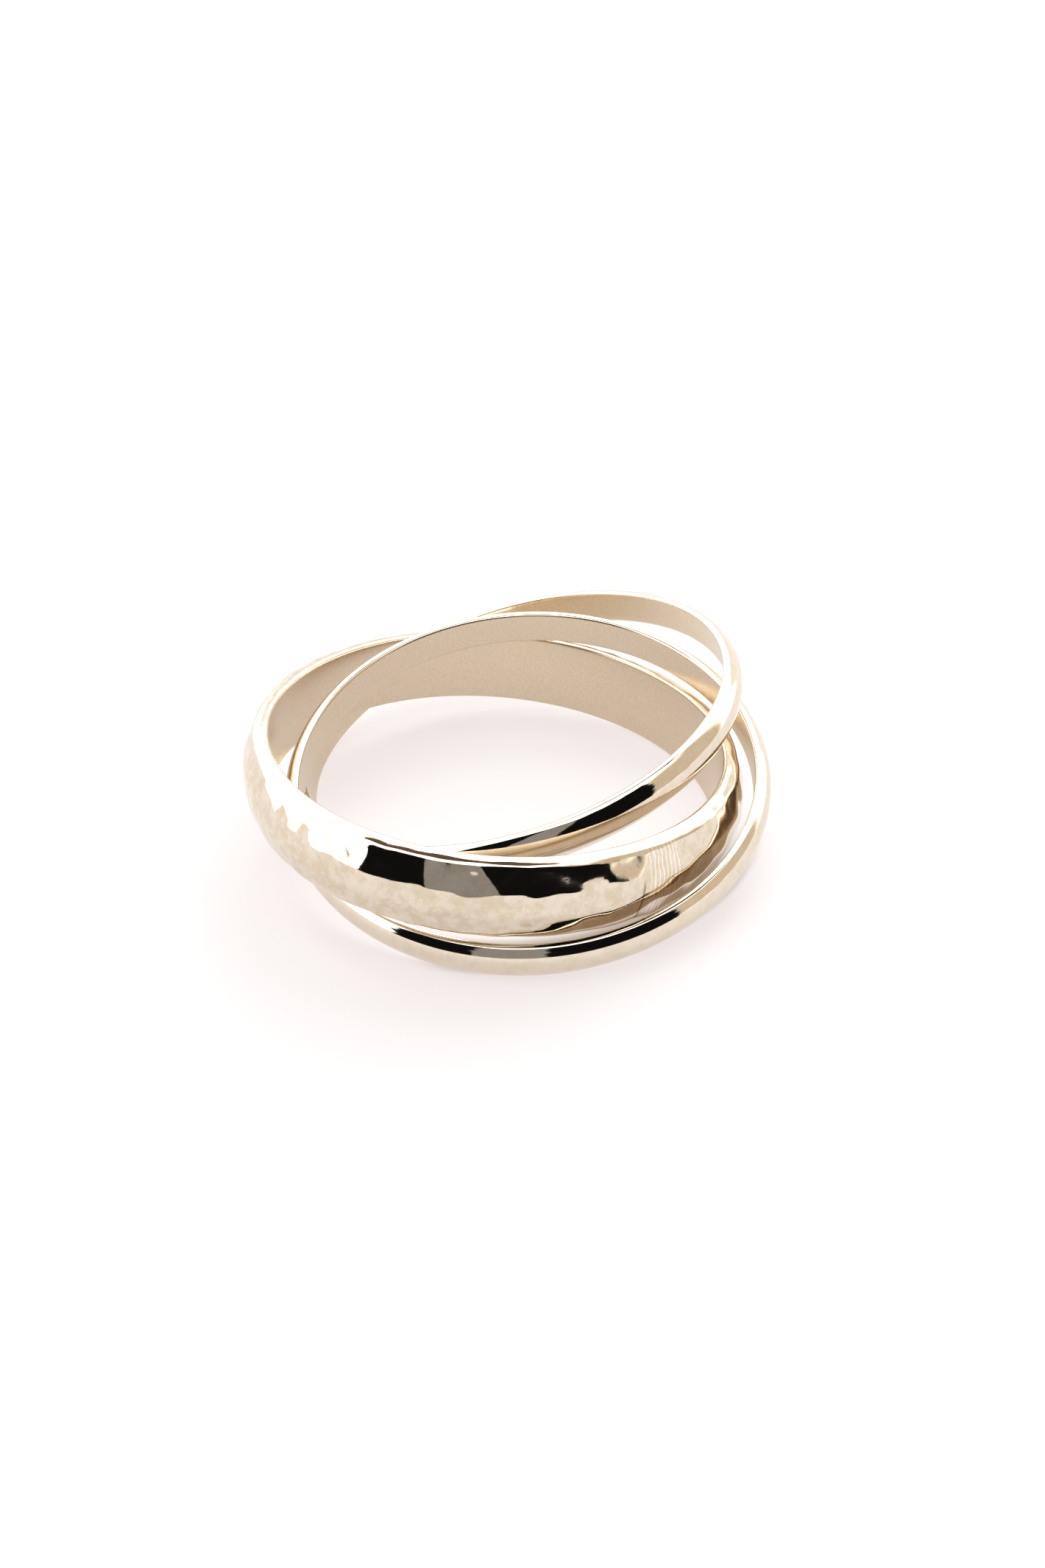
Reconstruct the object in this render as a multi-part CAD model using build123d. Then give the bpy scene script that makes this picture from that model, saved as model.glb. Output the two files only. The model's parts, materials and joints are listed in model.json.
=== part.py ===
from build123d import *
import os
import numpy as np

# A rolling ring: three silver bands, each linked through the other two, fanned out on a table.
# Lengths are in millimetres and angles in degrees. The table is z = 0, +Z is up, -Y is the front.
# The origin is on the table, under the middle of the ring's box.

# All three bands slide on one finger
bore_diameter = 18.0

# The wide hammered band, thickest at its crown and with low flat side walls
wide_width = 3.2
wide_thickness = 1.06
wide_side_wall = 0.3

# The two narrow polished bands
narrow_width = 1.5
narrow_thickness = 0.65
narrow_side_wall = 0.26

# The edges that meet the finger are eased
inner_rounding = 0.1

# The least gap kept between any two bands
link_gap = 0.08

# How each band leans and lies: its tip from flat, the direction of its high side anticlockwise from
# +X, and its centre measured to the right of and behind the wide band's centre
wide_tilt, wide_high_side = 7.4, 203.2
front_tilt, front_high_side = 12.5, 86.8
front_right, front_behind = 1.26, -0.78
rear_tilt, rear_high_side = 14.3, 0.9
rear_right, rear_behind = 0.84, 2.96

# The wide band's shoulders: where its crown's arc ends, as shares of half its width and of the
# height from the side walls to the crown
shoulder_out, shoulder_up = 0.84, 0.55

# Hammer marks are flat facets. Each row has a place from the crown (0) to the shoulder (1), a first
# mark and a depth
mark_length = 2.4
mark_rows = [
    {"place": 0.0, "first": 0.0, "depth": 0.045},
    {"place": 0.8, "first": 0.5, "depth": 0.055},
    {"place": -0.8, "first": 0.35, "depth": 0.055},
]
mark_wander = 0.22
mark_seed = 3

# How the bands are slid clear of each other when their sizes change: the points taken round a
# section and round a turn, the longest single slide, the most rounds of slides, and the least share
# of a gap that a level slide is taken to open
section_samples = 44
turn_samples = 144
largest_slide = 0.15
slide_rounds = 200
least_level_share = 0.1


def crown_arc(width, side_wall, thickness, out=1.0, up=0.0):
    """The arc over a band's crown, in the plane of radius and height.

    Its ends lie at the share out of half the width, and at the share up of the rise from the side
    walls to the crown.
    """
    bore = bore_diameter / 2
    end_radius = bore + side_wall + (thickness - side_wall) * up
    end_height = width / 2 * out
    return ThreePointArc((end_radius, -end_height), (bore + thickness, 0), (end_radius, end_height))


def section(width, side_wall, arcs):
    """A band's section: the given outer arcs, two side walls and the flat bore with eased edges."""
    bore = bore_diameter / 2
    walls = Polyline(
        (bore + side_wall, width / 2), (bore, width / 2), (bore, -width / 2), (bore + side_wall, -width / 2)
    )
    face = make_face([*arcs, walls])
    inner_corners = face.vertices().group_by(Axis.X)[0]
    return fillet(inner_corners, inner_rounding).face()


def narrow_section():
    return section(
        narrow_width, narrow_side_wall, [crown_arc(narrow_width, narrow_side_wall, narrow_thickness)]
    )


def wide_section():
    """The wide band's section has fuller shoulders: an arc on each side, smooth with the crown's."""
    crown = crown_arc(wide_width, wide_side_wall, wide_thickness, shoulder_out, shoulder_up)
    wall_top = bore_diameter / 2 + wide_side_wall
    upper = TangentArc(crown @ 1, (wall_top, wide_width / 2), tangent=crown % 1)
    lower = TangentArc(crown @ 0, (wall_top, -wide_width / 2), tangent=-(crown % 0))
    return section(wide_width, wide_side_wall, [lower, crown, upper])


def band_solid(face):
    """Turns a section about the band's own axis, +Z."""
    return revolve(Plane.XZ * face, Axis.Z)


def hammer_marks():
    """Blocks whose inner faces lie just under the wide band's crown, all the way round."""
    crown = crown_arc(wide_width, wide_side_wall, wide_thickness, shoulder_out, shoulder_up)
    centre, radius = crown.arc_center, crown.radius
    shoulder = np.degrees(np.arcsin(wide_width / 2 * shoulder_out / radius))
    block = Box(wide_width, wide_width, wide_width, align=(Align.MIN, Align.CENTER, Align.CENTER))
    count = round(np.pi * (bore_diameter + 2 * wide_thickness) / mark_length)
    chance = np.random.default_rng(mark_seed)
    marks = []
    for row in mark_rows:
        for number in range(count):
            turn = 360 / count * (number + row["first"] + chance.uniform(-mark_wander, mark_wander))
            lean = shoulder * (row["place"] + mark_wander * chance.uniform(-1, 1))
            depth = row["depth"] * (1 + chance.uniform(-mark_wander, mark_wander))
            on_crown = Pos(centre.X, 0, 0) * Rot(0, -lean, 0) * Pos(radius - depth, 0, 0)
            marks.append(Rot(0, 0, turn) * on_crown * block)
    return marks


class Band:
    """One band where it lies: its section's outline, its lean and the place of its centre."""

    def __init__(self, face, tilt, high_side, right=0.0, behind=0.0):
        self.tilt, self.high_side = tilt, high_side
        wire = face.outer_wire()
        points = [wire @ share for share in np.linspace(0, 1, section_samples, endpoint=False)]
        self.outline = np.array([(point.X, point.Y) for point in points])
        lean, heading = np.radians(tilt), np.radians(high_side)
        self.up_slope = np.array([
            np.cos(lean) * np.cos(heading), np.cos(lean) * np.sin(heading), np.sin(lean)
        ])
        self.level = np.array([-np.sin(heading), np.cos(heading), 0.0])
        self.axis = np.cross(self.up_slope, self.level)
        # The band's lowest point is on the table
        lift = (self.outline[:, 0] * np.sin(lean) - self.outline[:, 1] * np.cos(lean)).max()
        self.centre = np.array([right, behind, lift])

    def surface(self):
        """Points all over the band: its outline carried round its axis."""
        turn = np.linspace(0, 2 * np.pi, turn_samples, endpoint=False)[:, None, None]
        radius, height = self.outline[None, :, :1], self.outline[None, :, 1:]
        spoke = np.cos(turn) * self.up_slope + np.sin(turn) * self.level
        return (self.centre + radius * spoke + height * self.axis).reshape(-1, 3)

    def nearest(self, points):
        """The gap to the nearest of the points, under 0 inside, and the way out of the band there."""
        offset = points - self.centre
        height = offset @ self.axis
        spoke = offset - height[:, None] * self.axis
        radius = np.linalg.norm(spoke, axis=1)
        place = np.stack([radius, height], axis=1)[:, None]
        start, end = self.outline, np.roll(self.outline, -1, axis=0)
        side = end - start
        length = np.linalg.norm(side, axis=1)
        share = np.clip(((place - start) * side).sum(-1) / length**2, 0, 1)
        away = place - start - share[..., None] * side
        outside = (side[:, 1] * (place - start)[..., 0] - side[:, 0] * (place - start)[..., 1]) / length
        outside *= np.sign((side[:, 1] * start[:, 0] - side[:, 0] * start[:, 1]).sum())
        inside = (outside < 0).all(axis=1)
        distance = np.linalg.norm(away, axis=-1)
        closest = distance.argmin(axis=1)
        rows = np.arange(len(points))
        gap = np.where(inside, -1, 1) * distance[rows, closest]
        worst = gap.argmin()
        out = away[worst, closest[worst]] * np.sign(gap[worst])
        way = out[0] * spoke[worst] / radius[worst] + out[1] * self.axis
        return gap[worst], way / np.linalg.norm(way)

    def location(self):
        """Where the band's own frame lies: its axis is +Z there and its high side is +X."""
        return Pos(*self.centre) * Rot(0, 0, self.high_side) * Rot(0, -self.tilt, 0)


def slide_clear(bands):
    """Slides the bands over the table until each pair clears by link_gap, as loose bands settle.

    Where the sizes leave them clear already, nothing moves.
    """
    pairs = [(band, other) for band in bands for other in bands if band is not other]
    for _ in range(slide_rounds):
        all_clear = True
        for band, other in pairs:
            gap, way_out = band.nearest(other.surface())
            if gap < link_gap:
                level_share = np.linalg.norm(way_out[:2])
                wanted = (link_gap - gap) / max(level_share, least_level_share)
                slide = way_out[:2] / level_share * min(wanted, largest_slide)
                other.centre[:2] += slide / 2
                band.centre[:2] -= slide / 2
                all_clear = False
        if all_clear:
            return


wide = Band(wide_section(), wide_tilt, wide_high_side)
front = Band(narrow_section(), front_tilt, front_high_side, front_right, front_behind)
rear = Band(narrow_section(), rear_tilt, rear_high_side, rear_right, rear_behind)
slide_clear([wide, front, rear])

plain_solid = band_solid(narrow_section())
hammered_solid = band_solid(wide_section()) - hammer_marks()
parts = {
    "hammered_band": (wide, hammered_solid),
    "front_plain_band": (front, plain_solid),
    "rear_plain_band": (rear, plain_solid),
}

# The origin goes under the middle of the whole ring
whole = Compound([band.location() * solid for band, solid in parts.values()]).bounding_box()
to_origin = Pos(-whole.center().X, -whole.center().Y, 0)

os.makedirs("parts", exist_ok=True)
for name, (band, solid) in parts.items():
    placed = to_origin * band.location() * solid
    export_step(placed, f"parts/{name}.step")
    centre = (to_origin * band.location()).position
    print(name, "centre", [round(v, 3) for v in centre], "axis", band.axis.round(5).tolist())
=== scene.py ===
import json
import math

import bpy
import numpy as np
from mathutils import Matrix, Vector


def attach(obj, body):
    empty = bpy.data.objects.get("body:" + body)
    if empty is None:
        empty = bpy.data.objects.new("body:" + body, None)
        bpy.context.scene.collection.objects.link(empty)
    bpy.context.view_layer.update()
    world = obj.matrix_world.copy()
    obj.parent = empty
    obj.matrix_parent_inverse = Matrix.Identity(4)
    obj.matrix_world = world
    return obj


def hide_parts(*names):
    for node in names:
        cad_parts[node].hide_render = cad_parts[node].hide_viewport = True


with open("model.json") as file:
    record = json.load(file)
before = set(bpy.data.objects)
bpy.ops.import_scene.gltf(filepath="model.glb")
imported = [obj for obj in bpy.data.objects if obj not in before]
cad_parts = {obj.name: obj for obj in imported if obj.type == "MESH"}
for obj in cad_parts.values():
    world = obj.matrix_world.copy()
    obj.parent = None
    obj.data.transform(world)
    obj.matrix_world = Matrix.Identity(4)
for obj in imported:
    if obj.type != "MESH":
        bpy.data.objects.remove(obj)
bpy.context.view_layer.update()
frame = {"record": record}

# A rolling ring of three linked silver bands: one wide and hammered, two narrow and polished.
# Lengths are in metres and angles in degrees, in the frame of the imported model: the table is z = 0.

# Every band's own size: all three slide on one finger
bore_radius = 0.009
inner_rounding = 0.0001
wide_width, wide_thickness, wide_side_wall = 0.0032, 0.00106, 0.0003
narrow_width, narrow_thickness, narrow_side_wall = 0.0015, 0.00065, 0.00026

# The wide band's shoulders: where its crown's arc ends, as shares of half its width and of the
# height from the side walls to the crown
shoulder_out, shoulder_up = 0.84, 0.55

# How far the polisher's wheel has softened the edges of a section
edge_softening = 0.00004

# Where the wide band lies. The hinges of the record give the places of the other two
wide_centre = (-0.00045, -0.001193, 0.002787)
wide_axis = (0.11838, 0.05074, 0.99167)

# Hammer marks are nearly flat facets with soft edges. Each row has a place from the crown (0) to the
# shoulder (1), a first mark, the step from mark to mark and a depth
mark_rows = [
    {"place": 0.0, "first": 0.2, "step": 0.0013, "depth": 0.000030},
    {"place": 0.74, "first": 0.906, "step": 0.00115, "depth": 0.000058},
    {"place": -0.65, "first": 0.35, "step": 0.0013, "depth": 0.000040},
]
# How far a mark strays: along its row as a share of the step, across it as a share of the way to the
# shoulder, and in depth
mark_stray = 0.2, 0.1, 0.3
# The metal between the marks rolls in soft waves: how many, their lengths and their root mean square
wave_count = 60
wave_lengths = 0.0009, 0.0019
wave_height = 0.000010
mark_seed = 8
# How softly the edge of a mark is rounded
mark_edge = 0.000008

# A solder seam crosses the wide band, and bright strokes of a file lie beside it. Their turns and
# widths are in degrees, the turns from the band's low side. The seam fades between two heights
seam_turn, seam_width, seam_fade = -81.6, 0.5, (0.0006, 0.0002)
stroke_turn, stroke_span, stroke_step = -75.6, 5.2, 1.15
# How far the strokes wander, in radians of their own wave, and how fast along turn and height
stroke_wander, wander_scales = 9, (0.3, 1500)
# Where a stroke starts and is full on its own wave, and the share of the span where all are full
stroke_edge, stroke_plateau = (0.3, 0.9), 0.7
seam_strength, stroke_strength = 0.85, 0.7

# Silver's colours: polished, tarnished, satin from dark to light, a file's stroke and the seam
polished_colour, tarnish_colour = (0.77, 0.69, 0.57, 1), (0.67, 0.565, 0.42, 1)
satin_dark, satin_light = (0.64, 0.53, 0.39, 1), (0.72, 0.61, 0.47, 1)
stroke_colour, seam_colour = (0.97, 0.92, 0.83, 1), (0.24, 0.16, 0.09, 1)
# Roughness of the polished outside and the satin bore, and what tarnish and grain add to them
polished_roughness, tarnish_roughness = 0.04, 0.03
satin_roughness, grain_roughness = 0.27, 0.04
# Patterns of the metal, as noise scales: tarnish, soft mottling, grain and the polisher's lines, which
# are long round the bore and narrow across it
tarnish_scale, mottle_scale, grain_scale = 1900.0, 1800.0, 14000.0
# The parts of the noise's range over which tarnish and the satin's lightness go from none to full
tarnish_range, satin_range = (0.38, 0.64), (0.3, 0.7)
line_long_scale, line_narrow_scale = 300, 22000
# Relief: the grain outside, and the lines and grain in the bore
outer_grain, bore_lines, bore_grain = 0.0000002, 0.0000010, 0.0000012
# How far out from the bore the satin reaches: full, and ended
satin_full, satin_end = 0.00002, 0.00006
# Each kind of band's mottling, as a height, and its share of tarnish
wide_mottle, wide_tarnish = 0.000004, 0.9
narrow_mottle, narrow_tarnish = 0.0000012, 0.4

# The points along half a narrow crown, half the wide crown, a shoulder and an eased edge
narrow_arc, wide_arc, shoulder_arc, edge_arc = 80, 60, 30, 12
# How finely the surfaces are made: the points round a section and the turns round a band
wide_points, wide_turns = 100, 960
narrow_points, narrow_turns = 60, 720
# The points of an outline before it is softened, the neighbours each way that soften one, and the
# length that a radian of turning counts as when the points are spread again
outline_points, neighbours, turning_length = 4000, 200, 0.0004

# The camera stands where the photograph was taken from
camera_place = (0.000625, -0.052505, 0.035934)
camera_down, camera_roll = 33.62, -2.61
camera_lens, camera_sensor = 34.79, 36.0
nearest_seen, farthest_seen = 0.001, 10.0

# The floor is a white table, lit from below as well. Its glow is painted dimmer and browner between the
# bands
# at the front: a painted shade that stands in for the brown light the hammered band reflects there
floor_half = 1.5
floor_drop = 0.00001
floor_tint, floor_roughness = (0.30, 0.33, 0.33, 1), 0.9
floor_glow = (0.66, 0.585, 0.58, 1)
# The colour of the painted shade on the floor's glow
painted_shade_glow = (0.20, 0.10, 0.045, 1)
# Where that shade starts and where it is full: outwards and inwards from the origin, and towards the
# front and the right
shade_outwards, shade_inwards = (0.0086, 0.0093), (0.0109, 0.0103)
shade_forwards, shade_rightwards = (-0.002, -0.007), (-0.0040, -0.001)

# The light tent round the ring: white, with zones set by heading from the camera's side (positive to
# the right) and height, in degrees. Each lies over the ones before it: low behind, left, right, the
# ceiling and its dim warm back, and the dark opening with something grey in it
tent_white = (0.98, 0.98, 1.0, 1)
tent_strength = 2.05
# The plain white that the tent sends to all but mirror-like metal
open_colour, open_white = (1, 1, 1, 1), 1.0
tent_zones = [
    {"patch": (130, 215, -10, 26), "blur": 5, "tint": (1.0, 0.97, 0.93, 1), "strength": 1.2},
    {"patch": (-215, -150, -10, 26), "blur": 5, "tint": (1.0, 0.97, 0.93, 1), "strength": 1.2},
    {"patch": (-170, -70, 0, 58), "blur": 14, "tint": (1.0, 0.98, 0.96, 1), "strength": 2.6},
    {"patch": (46, 112, -5, 62), "blur": 10, "tint": (1.0, 0.87, 0.70, 1), "strength": 0.80},
    {"patch": (-200, 200, 62, 120), "blur": 5, "tint": (1.0, 0.985, 0.96, 1), "strength": 2.8},
    {"patch": (100, 220, 63, 100), "blur": 5, "tint": (1.0, 0.72, 0.5, 1), "strength": 0.15},
    {"patch": (-220, -100, 63, 100), "blur": 5, "tint": (1.0, 0.72, 0.5, 1), "strength": 0.15},
    {"patch": (-57, 58, -6, 63), "blur": 2, "tint": (0.8, 0.9, 1.0, 1), "strength": 0.006},
    {"patch": (-25, 5, -6, 60), "blur": 2, "tint": (1.0, 0.98, 0.97, 1), "strength": 0.34},
]
# The zones' outlines are uneven, like those of the real things round the ring: how finely, and by how
# many degrees each way
uneven_scale, uneven_sideways, uneven_height = 6.0, 8, 14

# A softbox behind the ring, a little to the right
softbox_place, softbox_size, softbox_power = (0.12, 0.33, 0.35), 0.35, 1.6


class Number:
    """A number that varies over a surface. Sums and products of it become Math nodes."""

    def __init__(self, bench, socket):
        self.bench, self.socket = bench, socket

    def math(self, operation, *others):
        return self.bench.node("ShaderNodeMath", {"operation": operation}, [self, *others])

    def __add__(self, other):
        return self.math("ADD", other)

    def __sub__(self, other):
        return self.math("SUBTRACT", other)

    def __rsub__(self, other):
        return (self * -1) + other

    def __mul__(self, other):
        return self.math("MULTIPLY", other)

    def __pow__(self, other):
        return self.math("POWER", other)

    __radd__, __rmul__ = __add__, __mul__

    def ramp(self, low, high):
        """0 at low and 1 at high, smooth between them."""
        inputs = {"Value": self, "From Min": low, "From Max": high}
        return self.bench.node("ShaderNodeMapRange", {"interpolation_type": "SMOOTHSTEP"}, inputs)


class Bench:
    """Lays out the nodes of one material or world."""

    def __init__(self, tree):
        self.tree = tree
        tree.nodes.clear()

    def node(self, kind, settings=None, inputs=None, output=0):
        """Adds a node of that type, with its settings first, and then its sockets' values or links."""
        node = self.tree.nodes.new(kind)
        for name, value in (settings or {}).items():
            setattr(node, name, value)
        pairs = inputs.items() if isinstance(inputs, dict) else enumerate(inputs or [])
        for name, value in pairs:
            if isinstance(value, Number):
                self.tree.links.new(value.socket, node.inputs[name])
            else:
                node.inputs[name].default_value = value
        return Number(self, node.outputs[output]) if node.outputs else None

    def mix(self, share, start, end):
        """The colour start where share is 0, and end where it is 1."""
        inputs = {0: share, 6: start, 7: end}
        return self.node("ShaderNodeMix", {"data_type": "RGBA"}, inputs, output=2)

    def noise(self, place, scale, detail=3.0, roughness=0.5):
        inputs = {"Vector": place, "Scale": scale, "Detail": detail, "Roughness": roughness}
        return self.node("ShaderNodeTexNoise", None, inputs)


def place_camera():
    """The photograph's camera: it looks down towards +Y, and is turned a little about its own view."""
    camera = bpy.data.objects.new("camera", bpy.data.cameras.new("camera"))
    bpy.context.scene.collection.objects.link(camera)
    down = Matrix.Rotation(math.radians(90 - camera_down), 4, "X")
    roll = Matrix.Rotation(math.radians(camera_roll), 4, "Z")
    camera.matrix_world = Matrix.Translation(camera_place) @ down @ roll
    camera.data.lens, camera.data.sensor_width = camera_lens, camera_sensor
    camera.data.clip_start, camera.data.clip_end = nearest_seen, farthest_seen
    bpy.context.scene.camera = camera


def crown_arc(width, side_wall, thickness, out=1.0, up=0.0):
    """The centre's radius, the radius and the half angle of the arc over a band's crown."""
    half_chord = width / 2 * out
    rise = (thickness - side_wall) * (1 - up)
    radius = (half_chord**2 + rise**2) / (2 * rise)
    return bore_radius + thickness - radius, radius, math.asin(half_chord / radius)


def arc_points(centre, radius, start, end, count):
    """Points (radius, height) on a circle from one angle to another."""
    angle = np.linspace(start, end, count)
    return np.stack([centre[0] + radius * np.cos(angle), centre[1] + radius * np.sin(angle)], axis=1)


def narrow_upper():
    """The upper half of a narrow band's outside: half the crown's arc."""
    middle, radius, half_angle = crown_arc(narrow_width, narrow_side_wall, narrow_thickness)
    return arc_points((middle, 0), radius, 0, half_angle, narrow_arc)


def wide_crown():
    return crown_arc(wide_width, wide_side_wall, wide_thickness, shoulder_out, shoulder_up)


def wide_upper():
    """The upper half of the wide band's outside: the crown's arc, and a shoulder's arc smooth with it.

    The shoulder's circle touches the crown's at the end P of the crown's arc and passes the top Q of
    the side wall: its radius is |Q - P| squared over twice the part of Q - P along P's inward normal.
    """
    middle, radius, half_angle = wide_crown()
    crown = arc_points((middle, 0), radius, 0, half_angle, wide_arc)
    inward = -np.array([math.cos(half_angle), math.sin(half_angle)])
    step = np.array([bore_radius + wide_side_wall, wide_width / 2]) - crown[-1]
    shoulder_radius = step @ step / (2 * step @ inward)
    centre = crown[-1] + inward * shoulder_radius
    last = math.atan2(crown[-1][1] + step[1] - centre[1], crown[-1][0] + step[0] - centre[0])
    return np.concatenate([crown, arc_points(centre, shoulder_radius, half_angle, last, shoulder_arc)[1:]])


def evenly(points, count, weight=0.0):
    """Points along a closed outline, spaced by its length plus weight times its turning."""
    step = np.roll(points, -1, axis=0) - points
    length = np.hypot(*step.T)
    heading = np.arctan2(step[:, 1], step[:, 0])
    turning = np.abs((heading - np.roll(heading, 1) + np.pi) % (2 * np.pi) - np.pi)
    travelled = np.concatenate([[0], np.cumsum(length + weight * (turning + np.roll(turning, -1)) / 2)])
    wanted = np.linspace(0, travelled[-1], count, endpoint=False)
    closed = np.concatenate([points, points[:1]])
    return np.stack([np.interp(wanted, travelled, closed[:, k]) for k in (0, 1)], axis=1)


def section(upper, count):
    """A band's closed section (radius, height): its outside, two flat side walls and the flat bore.

    The sharp outline is mirrored from its upper half and softened: each point is replaced by the mean
    of its neighbours, weighted by a bell curve along the outline, which only ever rounds inwards.
    """
    width = upper[-1][1]
    corner = arc_points(
        (bore_radius + inner_rounding, width - inner_rounding), inner_rounding, np.pi / 2, np.pi, edge_arc
    )
    half = np.concatenate([upper, corner])
    lower = half[:0:-1] * [1, -1]
    fine = evenly(np.concatenate([half, lower]), outline_points)
    spacing = np.hypot(*(fine[1] - fine[0]))
    reach = np.arange(-neighbours, neighbours + 1)
    bell = np.exp(-((reach * spacing / edge_softening) ** 2) / 2)
    soft = sum(
        share * np.roll(fine, shift, axis=0) for share, shift in zip(bell / bell.sum(), reach)
    )
    return evenly(soft, count, weight=turning_length)


def hammered(turn, points):
    """How far the wide band's outside is beaten in, for a grid of turns and section points.

    A mark's plane faces along the crown's normal at its own place, one depth under the crown. The cut
    is the smooth greatest of nothing and every plane's cut: e times the log of 1 + sum of exp(cut / e).
    The waves are a sum of cosines of n * turn + k * height + phase. They are scaled to wave_height as
    their root mean square, lie three of it under the crown, and are cut off where they would pass it.
    """
    middle, radius, shoulder = wide_crown()
    chance = np.random.default_rng(mark_seed)
    total = np.ones((len(turn), len(points)))
    for row in mark_rows:
        count = round(2 * np.pi * (bore_radius + wide_thickness) / row["step"])
        stray = chance.uniform(-1, 1, (3, count)) * np.array(mark_stray)[:, None]
        angles = 2 * np.pi / count * (np.arange(count) + row["first"] + stray[0])
        leans = shoulder * (row["place"] + stray[1])
        depths = row["depth"] * (1 + stray[2])
        for angle, lean, depth in zip(angles, leans, depths):
            out = points[:, 0] * np.cos(turn - angle)[:, None] - middle
            cut = out * np.cos(lean) + points[:, 1] * np.sin(lean) - (radius - depth)
            total += np.exp(cut / mark_edge)
    rolling = np.zeros_like(total)
    for _ in range(wave_count):
        length, heading, phase = chance.uniform((wave_lengths[0], 0, 0), (wave_lengths[1], np.pi, 2 * np.pi))
        waves_round = round(2 * np.pi * bore_radius / length * np.cos(heading))
        across = 2 * np.pi / length * np.sin(heading) * points[:, 1]
        rolling += np.cos(waves_round * turn[:, None] + across + phase)
    rolling *= wave_height * (2 / wave_count) ** 0.5
    return mark_edge * np.log(total) + np.clip(3 * wave_height + rolling, 0, None)


def normals_of(points):
    """The outward normals of a closed section that runs anticlockwise."""
    along = np.roll(points, -1, axis=0) - np.roll(points, 1, axis=0)
    return np.stack([along[:, 1], -along[:, 0]], axis=1) / np.hypot(*along.T)[:, None]


def band_frame(axis):
    """A band's own frame: the steepest way down its plane, the level way across it and its axis."""
    axis = np.array(axis) / np.linalg.norm(axis)
    level = np.cross(axis, [0, 0, 1])
    level *= -1 / np.linalg.norm(level)
    return np.cross(level, axis), level, axis


def band(name, points, turns, centre, axis, beaten=None):
    """A section carried once round a band's axis.

    A point is centre + radius * spoke(turn) + height * axis, where the spoke at turn 0 is the steepest
    way down the band's plane. Where the band is beaten, the point is moved inwards along the section's
    normal by the depth there, which fades out over the side walls.
    """
    down_slope, level, axis = band_frame(axis)
    turn = np.linspace(0, 2 * np.pi, turns, endpoint=False)
    place = np.broadcast_to(points, (turns, *points.shape))
    if beaten is not None:
        outside = np.clip((points[:, 0] - bore_radius) / wide_side_wall - 0.5, 0, 1)
        place = place - (beaten(turn, points) * outside)[..., None] * normals_of(points)
    spoke = np.cos(turn)[:, None, None] * down_slope + np.sin(turn)[:, None, None] * level
    grid = np.array(centre) + place[..., :1] * spoke + place[..., 1:] * axis
    count = len(points)
    row, column = np.meshgrid(np.arange(turns), np.arange(count), indexing="ij")
    next_row, next_column = (row + 1) % turns, (column + 1) % count
    corners = [row * count + column, next_row * count + column]
    corners += [next_row * count + next_column, row * count + next_column]
    mesh = bpy.data.meshes.new(name)
    mesh.from_pydata(grid.reshape(-1, 3).tolist(), [], np.stack(corners, axis=-1).reshape(-1, 4).tolist())
    mesh.shade_smooth()
    piece = bpy.data.objects.new(name, mesh)
    bpy.context.scene.collection.objects.link(piece)
    return piece


def seamed(bench, colour, across, along, height):
    """The wide band's colour with the dark solder seam and the bright strokes of a file beside it."""
    turn = along.math("ARCTAN2", across) * (180 / math.pi)
    seam = (turn - seam_turn).math("ABSOLUTE").ramp(seam_width, 0) * height.ramp(*seam_fade)
    near = (turn - stroke_turn).math("ABSOLUTE").ramp(stroke_span, stroke_span * stroke_plateau)
    stretched = [turn * wander_scales[0], height * wander_scales[1]]
    wander = bench.noise(bench.node("ShaderNodeCombineXYZ", None, stretched), 1.0) * stroke_wander
    strokes = (turn * (2 * math.pi / stroke_step) + wander).math("SINE").ramp(*stroke_edge) * near
    colour = bench.mix(strokes * stroke_strength, colour, stroke_colour)
    return bench.mix(seam * seam_strength, colour, seam_colour)


def silver(name, centre, axis, mottle, tarnish, seam=False):
    """Silver, polished outside and satin in the bore, in a band's own frame.

    Mottle is the height of the soft unevenness outside, and tarnish its greatest share there. The bore
    has the fine lines of the polisher's stick running round it.
    """
    material = bpy.data.materials.new(name)
    material.use_nodes = True
    bench = Bench(material.node_tree)
    lean = Matrix(band_frame(axis)).transposed().to_euler()
    own = bench.node("ShaderNodeMapping", {"vector_type": "TEXTURE"}, {
        "Vector": bench.node("ShaderNodeTexCoord", output=3), "Location": centre, "Rotation": lean
    })
    across, along, height = [bench.node("ShaderNodeSeparateXYZ", None, {0: own}, output=k) for k in range(3)]
    radius = (across * across + along * along) ** 0.5
    bore = radius.ramp(bore_radius + satin_end, bore_radius + satin_full)
    outside = 1 - bore

    cloudy = bench.noise(own, tarnish_scale, 4.0, 0.7)
    mottled = bench.noise(own, mottle_scale, 2.0, 0.5)
    grain = bench.noise(own, grain_scale, 2.0)
    stretched = [across * line_long_scale, along * line_long_scale, height * line_narrow_scale]
    lines = bench.noise(bench.node("ShaderNodeCombineXYZ", None, stretched), 1.0, 3.0)
    stain = cloudy.ramp(*tarnish_range) * tarnish
    relief = outside * (mottled * mottle + grain * outer_grain)
    relief = relief + bore * (lines * bore_lines + grain * bore_grain)
    shine = outside * (polished_roughness + tarnish_roughness * stain)
    shine = shine + bore * (satin_roughness + grain_roughness * grain)
    polished = bench.mix(stain, polished_colour, tarnish_colour)
    if seam:
        polished = seamed(bench, polished, across, along, height)
    satin = bench.mix(grain.ramp(*satin_range), satin_dark, satin_light)
    bump = bench.node("ShaderNodeBump", None, {"Strength": 1.0, "Distance": 1.0, "Height": relief})
    bench.node("ShaderNodeOutputMaterial", None, {
        "Surface": bench.node("ShaderNodeBsdfPrincipled", None, {
            "Base Color": bench.mix(bore, polished, satin),
            "Metallic": 1.0,
            "Roughness": shine,
            "Normal": bump,
        })
    })
    return material


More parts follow.
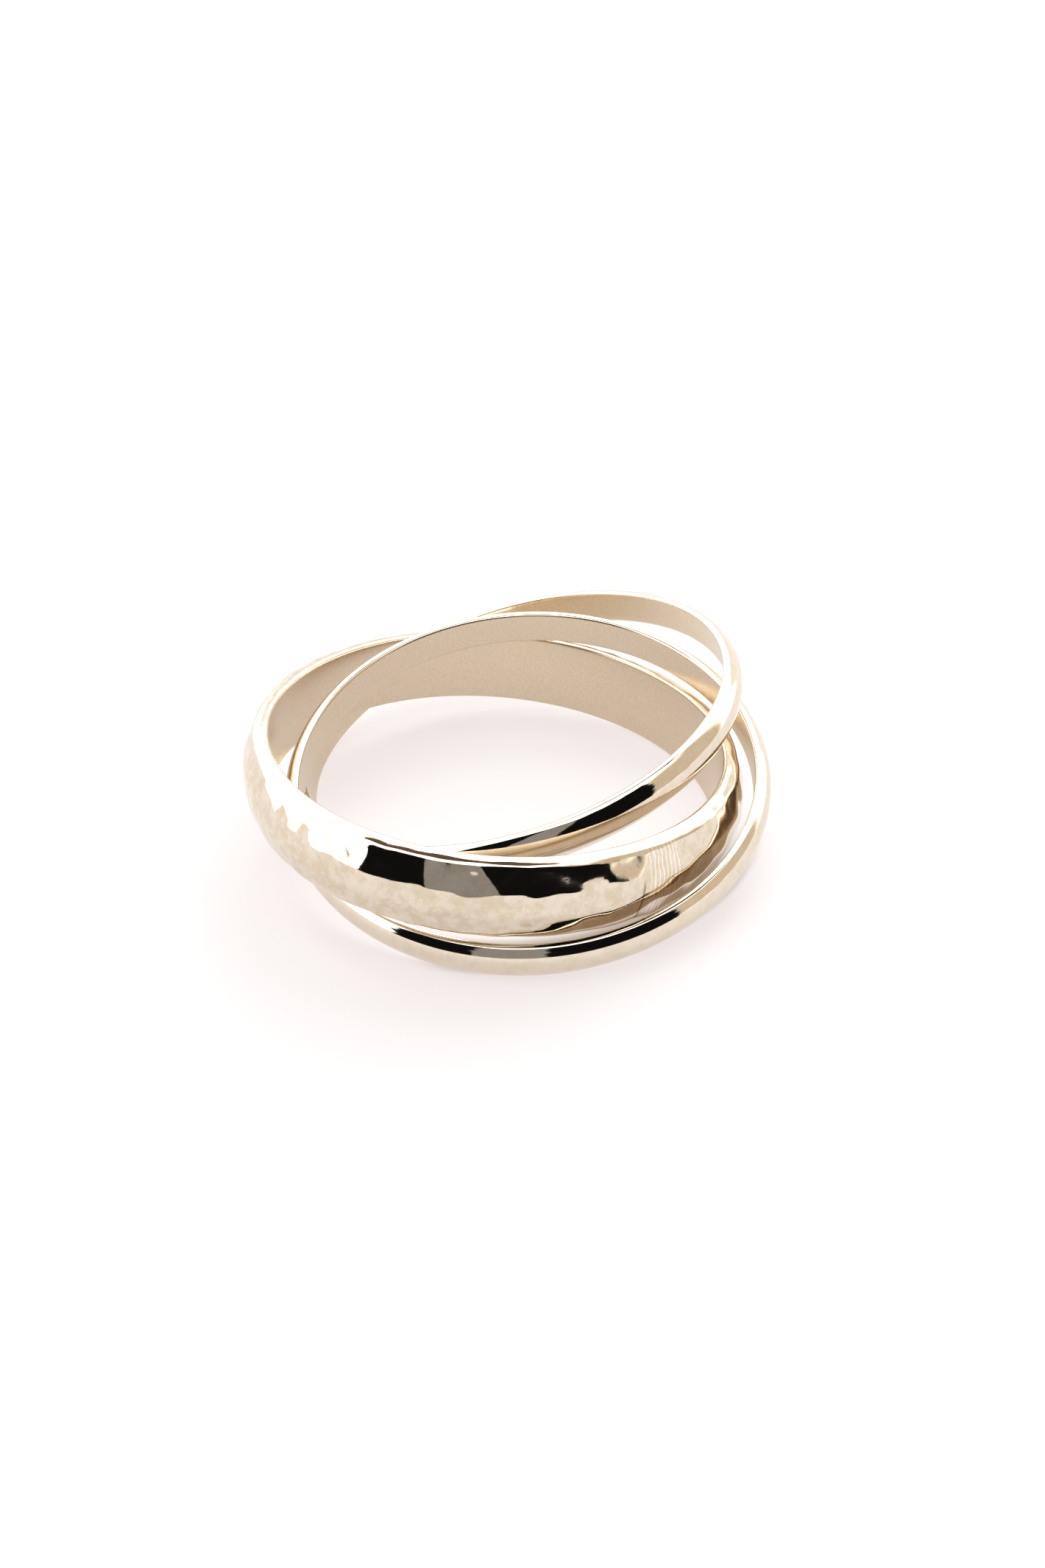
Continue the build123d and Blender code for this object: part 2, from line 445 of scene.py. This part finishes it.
def make_floor():
    """A wide pale table top that glows, with a painted shade between the bands at the front."""
    mesh = bpy.data.meshes.new("floor")
    signs = ((-1, -1), (1, -1), (1, 1), (-1, 1))
    corners = [(x * floor_half, y * floor_half, -floor_drop) for x, y in signs]
    mesh.from_pydata(corners, [], [(0, 1, 2, 3)])
    floor = bpy.data.objects.new("floor", mesh)
    bpy.context.scene.collection.objects.link(floor)
    material = bpy.data.materials.new("pale_floor")
    material.use_nodes = True
    bench = Bench(material.node_tree)
    place = bench.node("ShaderNodeTexCoord", output=3)
    right, back = [bench.node("ShaderNodeSeparateXYZ", None, {0: place}, output=k) for k in range(2)]
    radius = (right * right + back * back) ** 0.5
    # Painted shade: the floor's glow turns dim and brown in a patch between the bands at the front
    painted_shade_mask = radius.ramp(*shade_outwards) * radius.ramp(*shade_inwards)
    painted_shade_mask = painted_shade_mask * back.ramp(*shade_forwards) * right.ramp(*shade_rightwards)
    bench.node("ShaderNodeOutputMaterial", None, {
        "Surface": bench.node("ShaderNodeBsdfPrincipled", None, {
            "Base Color": floor_tint, "Roughness": floor_roughness,
            "Emission Color": bench.mix(painted_shade_mask, floor_glow, painted_shade_glow), "Emission Strength": 1.0
        })
    })
    mesh.materials.append(material)


def light_tent():
    """White all round, with the dark opening that the camera looks in through.

    Sideways is the heading from the camera's side, positive to the right, and height the elevation.
    Each zone is a patch of headings and heights with its brightness and tint.
    """
    world = bpy.data.worlds.new("tent")
    bpy.context.scene.world = world
    world.use_nodes = True
    bench = Bench(world.node_tree)
    direction = bench.node("ShaderNodeTexCoord", output=0)
    parts = [bench.node("ShaderNodeSeparateXYZ", None, {0: direction}, output=k) for k in range(3)]
    right, back, up = parts
    height = up.math("ARCSINE") * (180 / math.pi)
    sideways = right.math("ARCTAN2", back * -1) * (180 / math.pi)
    uneven = bench.noise(direction, uneven_scale, 1.0) - 0.5
    sideways, height = sideways + uneven * uneven_sideways, height - uneven * uneven_height
    colour, strength = tent_white, tent_strength
    for zone in tent_zones:
        left, right_end, low, high = zone["patch"]
        share = sideways.ramp(left, left + zone["blur"]) * sideways.ramp(right_end, right_end - zone["blur"])
        share = share * height.ramp(low, low + zone["blur"]) * height.ramp(high, high - zone["blur"])
        colour = bench.mix(share, colour, zone["tint"])
        strength = bench.node("ShaderNodeMix", None, {0: share, 2: strength, 3: zone["strength"]})
    mirrored = bench.node("ShaderNodeLightPath", output=3)
    strength = bench.node("ShaderNodeMix", None, {0: mirrored, 2: open_white, 3: strength})
    colour = bench.mix(mirrored, open_colour, colour)
    bench.node("ShaderNodeOutputWorld", None, {
        "Surface": bench.node("ShaderNodeBackground", None, {"Color": colour, "Strength": strength})
    })


def softbox(name, place, size, power):
    """A square area light that faces the ring."""
    light = bpy.data.lights.new(name, "AREA")
    light.size, light.energy = size, power
    lamp = bpy.data.objects.new(name, light)
    bpy.context.scene.collection.objects.link(lamp)
    lamp.location = place
    lamp.rotation_euler = (-Vector(place)).to_track_quat("-Z", "Y").to_euler()


place_camera()
make_floor()
light_tent()
softbox("back_softbox", softbox_place, softbox_size, softbox_power)

bpy.context.scene.view_settings.view_transform = "Standard"

wide_section = section(wide_upper(), wide_points)
hammered_band = band(
    "hammered_band_surface", wide_section, wide_turns, wide_centre, wide_axis, hammered
)
hammered_band.data.materials.append(
    silver("hammered_silver_finish", wide_centre, wide_axis, wide_mottle, wide_tarnish, seam=True)
)
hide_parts("hammered_band")
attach(hammered_band, "hammered_band")

narrow_section = section(narrow_upper(), narrow_points)
for joint in frame["record"]["behaviour"]["joints"]:
    node, centre, axis = joint["child"], joint["pos_m"], joint["axis"]
    plain_band = band(f"{node}_surface", narrow_section, narrow_turns, centre, axis)
    finish = silver(f"{node}_finish", centre, axis, narrow_mottle, narrow_tarnish)
    plain_band.data.materials.append(finish)
    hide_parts(node)
    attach(plain_band, node)
